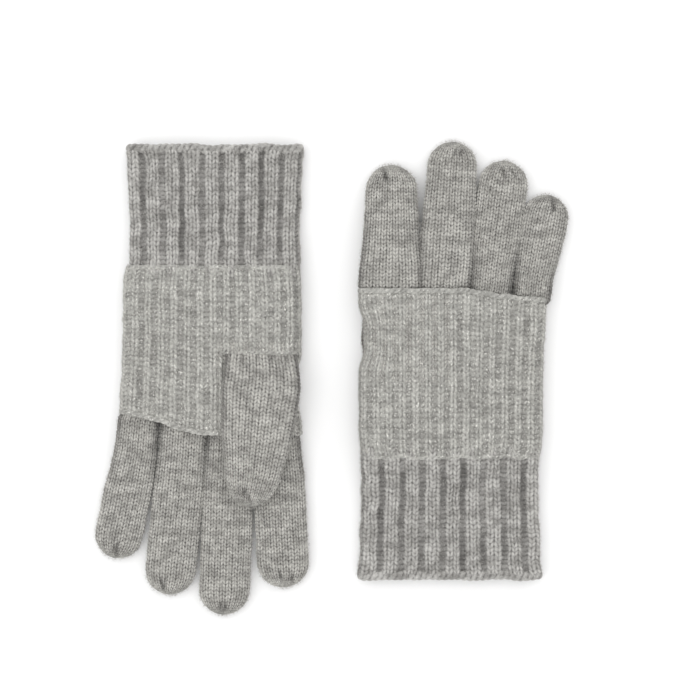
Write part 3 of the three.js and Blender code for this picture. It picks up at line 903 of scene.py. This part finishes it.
def band_and_hand(glove, seed):
    """The over-band with its edges, and the part of the hand that shows in the thumb opening."""
    body = f"{glove.name}_glove"
    longest = float(glove.edge_at(40))
    line = Line(glove, ["hand"], (0, 0), (0, 1), 1, longest - 1)
    line.start, line.end = -0.6, longest - 0.8
    wide = (line.sides[:, 1] - line.sides[:, 0]).mean()

    def slanted(p, along):
        ends = 1 - smooth(0, 14, along) + 0.6 * smooth(longest - 14, longest, along)
        wave = EDGE_WAVE * ends * wander(p, 0 * p, 0 * p, 8, seed + 31)
        q = along * glove.edge_at(p) / longest + wave
        return p - BAND_FLARE * smooth(35, 90, q) * smooth(0, -47, p), q

    def narrowed(p, along, waist=BAND_WAIST):
        p, q = slanted(p, along)
        return p - waist * smooth(28, 47, p) * smooth(46, 58, q) * (1 - smooth(70, 84, q)), q

    def swell(along):
        return glove.band_step - 0.9 - 1.5 * (1 - smooth(-3, 7, along))

    def widen(along):
        return -0.9 * (1 - smooth(-2, 20, along))

    def in_opening(points, more=0.0):
        p, q, z = np.moveaxis(points, -1, 0)
        side = z - glove.bed(p, q) - line.thick / 2
        on_palm = side > PALM_SIDE - 2 * more if glove.palm_up else side < 2 * more - PALM_SIDE
        return on_palm & (p > glove.opening_side - more) & (q > glove.thumb_line - more)

    columns = Columns(2 * (wide + 2 * glove.band_step + line.thick * 0.5), BAND, seed)
    looks = {"swell": swell, "widen": widen, "slanted": narrowed, "sway": BAND["sway"]}
    skin = tube(line, columns.share, 1.35, seed=seed, **looks)

    def outside(points):
        return ~in_opening(points)

    band = knit(glove, "band_knit", skin, columns, BAND_WOOL, "metallic_knit", ["band"], seed, keep=outside)
    for piece in band:
        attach(piece, body)

    threads = THREAD_COUNT, THREAD_LENGTH, THREAD_RADIUS, 0.93, 0.1, METALLIC_THREAD, seed + 60
    glints = scattered(glove, "metallic_thread", skin, *threads, outline=0, lift=1.15, keep=outside)
    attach(glints, body)

    jersey = Columns(2 * (wide + line.thick * 0.5), JERSEY, seed)
    line.start, line.end = glove.thumb_line - 8, longest

    def palm(points):
        return in_opening(points, 5)

    inner = tube(
        line,
        jersey.share,
        1.5,
        grow=1.5,
        slanted=lambda p, along: narrowed(p, along, HAND_WAIST),
        seed=seed + 2,
    )
    hand = knit(glove, "hand_knit", inner, jersey, JERSEY_WOOL, "jersey_knit", ["hand"], seed + 2, keep=palm)
    for piece in hand:
        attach(piece, body)

    def edge(name, points, outward, size, closed, lift=0.6):
        points = np.array(points) + lift * np.array(outward)
        whole = f"{glove.name}_{name}_roll"
        piece = rolled_edge(glove, whole, points, outward, size, 3.3, BAND_WOOL, closed=closed)
        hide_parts(f"{glove.name}_{name}")
        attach(piece, body)

    surface, normals = skin.lattice, skin.normals
    edge("band_wrist_edge", surface[1], normals[1], size=(1.0, 0.7), closed=True)
    opening = in_opening(surface)
    across = int(np.argmax(opening.any(axis=1)))
    column = np.flatnonzero(opening[across + 5])
    corner, side = (column[0], column[-1]) if glove.palm_up else (column[-1], column[0])
    steps = range(side, corner, -1 if glove.palm_up else 1)
    rows = range(across, len(surface) - 1)
    path, outward = [
        [values[across, c] for c in steps] + [values[r, corner] for r in rows]
        for values in (surface, normals)
    ]
    edge("thumb_opening_edge", path, outward, size=(1.0, 0.9), closed=False, lift=0.4)
    kept = np.roll(np.arange(surface.shape[1] - 1), -(column[-1] + 1))
    kept = kept[: surface.shape[1] - 1 - len(column)]
    edge("band_finger_edge", surface[-2][kept], normals[-2][kept], size=(1.3, 1.1), closed=False)


def build(glove, seed):
    ribbed_cuff(glove, seed)
    band_and_hand(glove, seed + 20)
    for i, name in enumerate(FINGERS):
        spread, reach = (0.6, 48) if glove.palm_up or i > 1 else (2.3, 64)
        spread = -0.6 if name == "little_finger" else spread
        finger(glove, name, spread, reach, seed + i)
    thumb(glove, seed + 9)


LEFT = Glove("left", True)
RIGHT = Glove("right", False)
build(LEFT, 1)
build(RIGHT, 41)


# ---------------------------------------------------------------- floor, light and camera
low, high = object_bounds()
centre = (low + high) / 2
bpy.ops.mesh.primitive_plane_add(size=6, location=(centre.x, centre.y, 0))
floor = bpy.context.object
floor.name = "floor"
PAPER = even("white_paper", "ffffff", Roughness=0.9, Specular_IOR_Level=0.1)  # matt and smooth
floor.data.materials.append(PAPER)

world = bpy.data.worlds.new("studio")
bpy.context.scene.world = world
world.use_nodes = True
background = world.node_tree.nodes["Background"].inputs
background["Color"].default_value = (1, 1, 1, 1)
background["Strength"].default_value = 0.85


def softbox(name, place, size, power):
    light = bpy.data.lights.new(name, "AREA")
    light.size = size
    light.energy = power
    lamp = bpy.data.objects.new(name, light)
    bpy.context.scene.collection.objects.link(lamp)
    lamp.location = place
    lamp.rotation_mode = "QUATERNION"
    lamp.rotation_quaternion = (centre - Vector(place)).to_track_quat("-Z", "Y")


softbox("key", (-0.45, -0.1, 1.4), size=1.6, power=7.5)
softbox("fill", (0.4, 0.7, 1.4), size=1.6, power=3.5)

camera = bpy.data.cameras.new("camera")
camera.lens = 100
camera.sensor_width = 36
view = bpy.data.objects.new("camera", camera)
bpy.context.scene.collection.objects.link(view)
bpy.context.scene.camera = view
VIEW_WIDTH = 0.3654  # width of what shows, at half the height of the gloves
OFF_MIDDLE = Vector((0.0034, 0.0218, 0.0))  # the gloves lie a little off the middle of the view
distance = VIEW_WIDTH * camera.lens / camera.sensor_width
middle = (bounds_before[0] + bounds_before[1]) / 2
view.location = middle + OFF_MIDDLE + Vector((0, 0, distance))
bpy.context.scene.view_settings.view_transform = "Standard"
